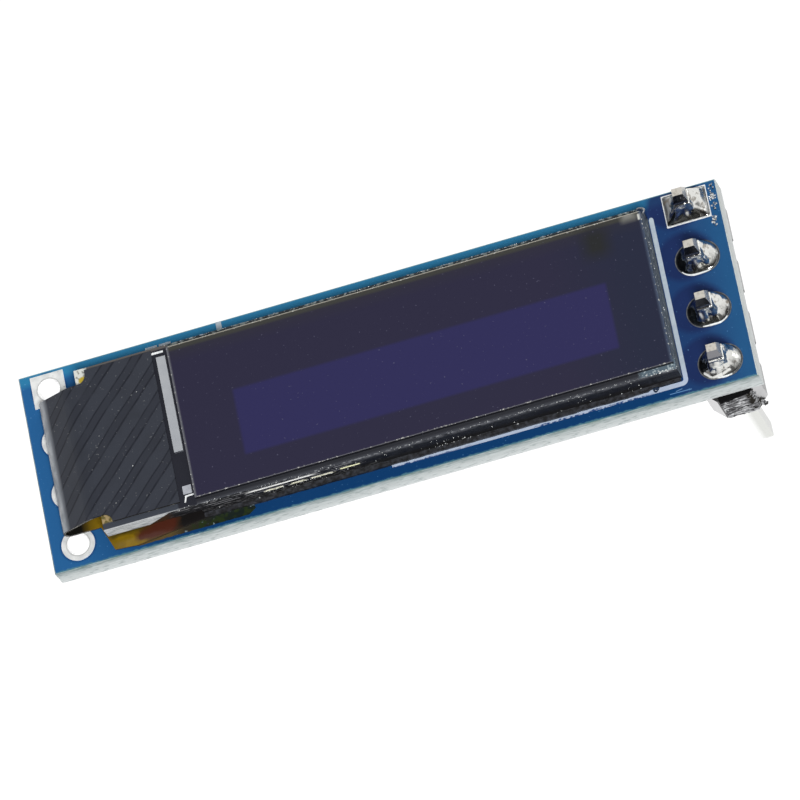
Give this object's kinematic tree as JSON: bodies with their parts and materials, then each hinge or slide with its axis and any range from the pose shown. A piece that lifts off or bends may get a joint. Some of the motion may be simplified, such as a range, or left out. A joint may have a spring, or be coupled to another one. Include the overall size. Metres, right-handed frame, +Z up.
{
  "type": "oled display module",
  "caption": "Small strip OLED display module on a blue board, with a soldered single-row pin header at one end and a folded flex at the other.",
  "frame": {"origin": "middle of the header strip's underside, where it seats on a socket, halfway between its second and third pins", "axes": "+X along the board from the free row of pads to the header, +Y across the board from pad 4 to pad 1, +Z up through the board to the display face"},
  "size_m": [0.0326, 0.0102, 0.011],
  "materials": {
    "board_blue": "glossy solder mask",
    "print_white": "matte ink",
    "pad_tin": "satin tinned",
    "solder": "shiny solder",
    "pin_metal": "bright tinned",
    "header_black": "matte moulded",
    "panel_glass": "dark glass",
    "polarizer_dark": "smooth dark film",
    "emitter_dark": "smooth dark layer",
    "seal_grey": "cured sealant",
    "chip_grey": "ground silicon",
    "film_black": "satin film",
    "film_amber": "amber polyimide",
    "tape_white": "foam tape",
    "part_black": "matte moulded",
    "capacitor_tan": "fired ceramic",
    "resistor_black": "glazed"
  },
  "bodies": {
    "root": {"active_area": "emitter_dark", "back_pads": "solder", "capacitor_1": "capacitor_tan", "capacitor_2": "capacitor_tan", "capacitor_3": "capacitor_tan", "capacitor_4": "capacitor_tan", "capacitor_5": "capacitor_tan", "capacitor_6": "capacitor_tan", "capacitor_7": "capacitor_tan", "capacitor_8": "capacitor_tan", "display_glass": "panel_glass", "driver_chip": "chip_grey", "flex_base": "film_amber", "flex_contacts": "solder", "flex_coverlay": "film_black", "glass_seal": "seal_grey", "header_housing": "header_black", "header_pad_1": "pad_tin", "header_pad_2": "pad_tin", "header_pad_3": "pad_tin", "header_pad_4": "pad_tin", "header_pin_1": "pin_metal", "header_pin_2": "pin_metal", "header_pin_3": "pin_metal", "header_pin_4": "pin_metal", "ledge_mark": "pad_tin", "left_pad_1": "pad_tin", "left_pad_2": "pad_tin", "left_pad_3": "pad_tin", "left_pad_4": "pad_tin", "panel_tape": "tape_white", "pcb": "board_blue", "polarizer": "polarizer_dark", "rear_glass": "panel_glass", "regulator_body": "part_black", "regulator_leads": "pad_tin", "resistor_1": "resistor_black", "resistor_2": "resistor_black", "resistor_3": "resistor_black", "resistor_4": "resistor_black", "resistor_5": "resistor_black", "silkscreen_outline": "print_white", "solder_joint_1": "solder", "solder_joint_2": "solder", "solder_joint_3": "solder", "solder_joint_4": "solder"}
  },
  "joints": []
}
